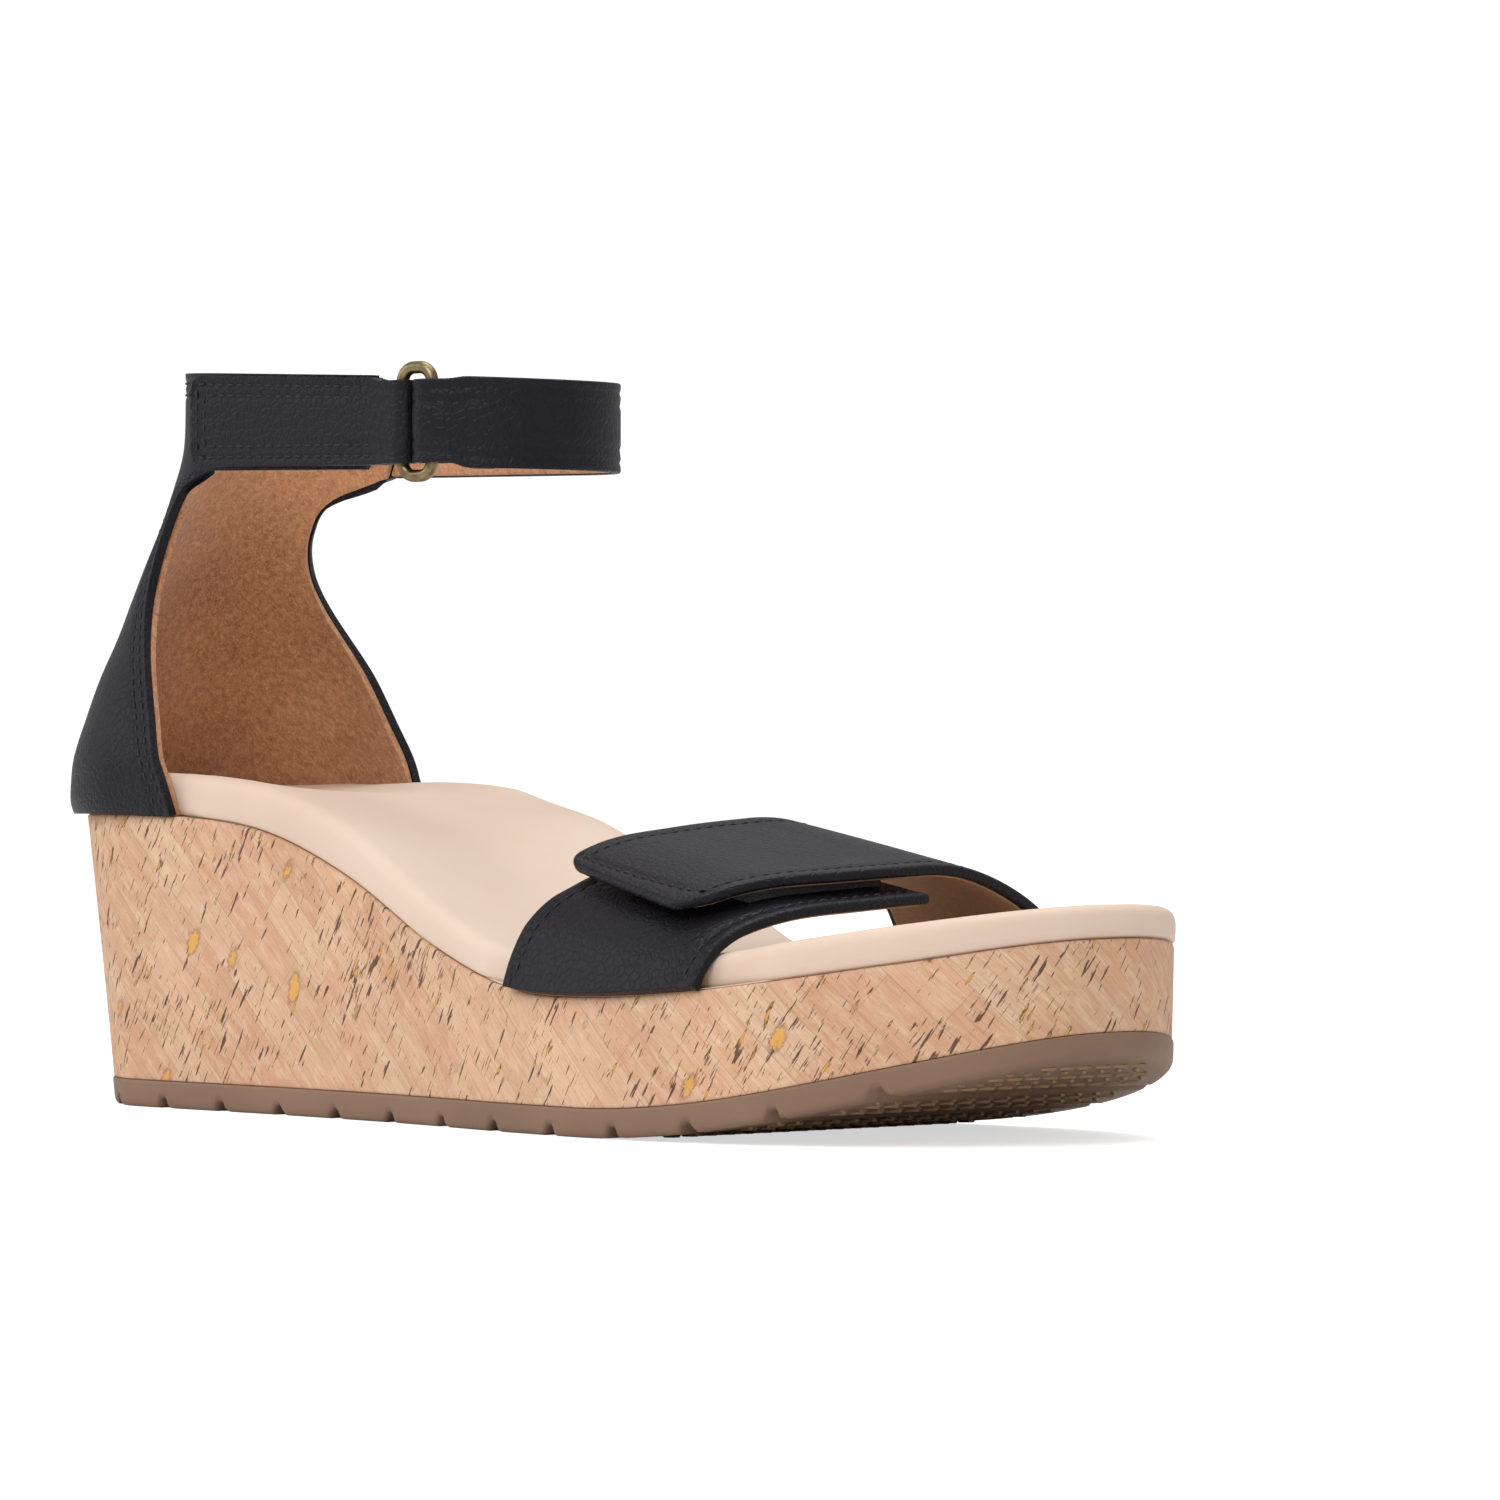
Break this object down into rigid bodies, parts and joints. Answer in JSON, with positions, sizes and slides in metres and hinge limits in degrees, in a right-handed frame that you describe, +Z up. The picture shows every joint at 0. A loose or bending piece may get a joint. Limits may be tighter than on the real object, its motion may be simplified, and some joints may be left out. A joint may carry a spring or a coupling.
{
  "type": "wedge sandal",
  "caption": "Open-toe right-foot wedge sandal with cork-wrapped sole, hook-and-loop vamp flap and ankle strap closed through a ring.",
  "frame": {"origin": "on the ground plane, under the middle of the heel, 30 mm in front of the heel's back, on the long axis of the sole", "axes": "+X from heel to toe, +Z up, -Y the lateral (outer) side of a right foot"},
  "size_m": [0.2609, 0.0895, 0.1396],
  "materials": {
    "outsole_rubber": "matte translucent taupe rubber",
    "cork": "sliced cork bark with dark streaks",
    "core_foam": "moulded light foam",
    "steel": "pressed spring steel",
    "board": "cellulose fibre board",
    "foam": "soft open-cell foam",
    "footbed_leather": "smooth beige",
    "black_leather": "fine-grained, semi-gloss navy black",
    "suede": "brushed brown suede",
    "taupe_lining": "smooth taupe",
    "counter_board": "thermoplastic fibre sheet",
    "brass": "antiqued",
    "tape_black": "woven tape with hooks or loops"
  },
  "bodies": {
    "root": {"outsole": "outsole_rubber", "wedge_core": "core_foam", "cork_wrap": "cork", "shank": "steel", "insole_board": "board", "footbed_foam": "foam", "footbed_cover": "footbed_leather", "heel_counter": "counter_board", "quarter_outer": "black_leather", "quarter_lining": "suede", "band_loop_patch": "tape_black", "strap_anchor_outer": "black_leather", "strap_anchor_lining": "suede", "vamp_lateral_outer": "black_leather", "vamp_lateral_lining": "taupe_lining", "vamp_loop_patch": "tape_black", "vamp_medial_outer": "black_leather", "vamp_medial_lining": "taupe_lining"},
    "ankle_strap": {"ankle_strap_outer": "black_leather", "ankle_strap_lining": "suede"},
    "ring": {"strap_ring": "brass"},
    "closure_tab": {"tab_outer": "black_leather", "tab_lining": "black_leather", "tab_hook_patch": "tape_black"},
    "vamp_flap": {"vamp_flap_outer": "black_leather", "vamp_flap_lining": "taupe_lining", "vamp_hook_patch": "tape_black"}
  },
  "joints": [
    {"name": "ankle_strap_swing", "type": "hinge", "parent": "root", "child": "ankle_strap", "pos_m": [0.06605, 0.02381, 0.1276], "axis": [0, 0, 1], "range_deg": [0, 75]},
    {"name": "ring_swivel", "type": "hinge", "parent": "ankle_strap", "child": "ring", "pos_m": [0.07776, -0.0209, 0.12731], "axis": [0, 0, 1], "range_deg": [0, 35]},
    {"name": "tab_peel", "type": "hinge", "parent": "ring", "child": "closure_tab", "pos_m": [0.07145, -0.02247, 0.12731], "axis": [0, 0, 1], "range_deg": [0, 115]},
    {"name": "vamp_flap_peel", "type": "hinge", "parent": "root", "child": "vamp_flap", "pos_m": [0.1535, 0.013, 0.05144], "axis": [-0.981, 0, 0.194], "range_deg": [0, 70]}
  ]
}
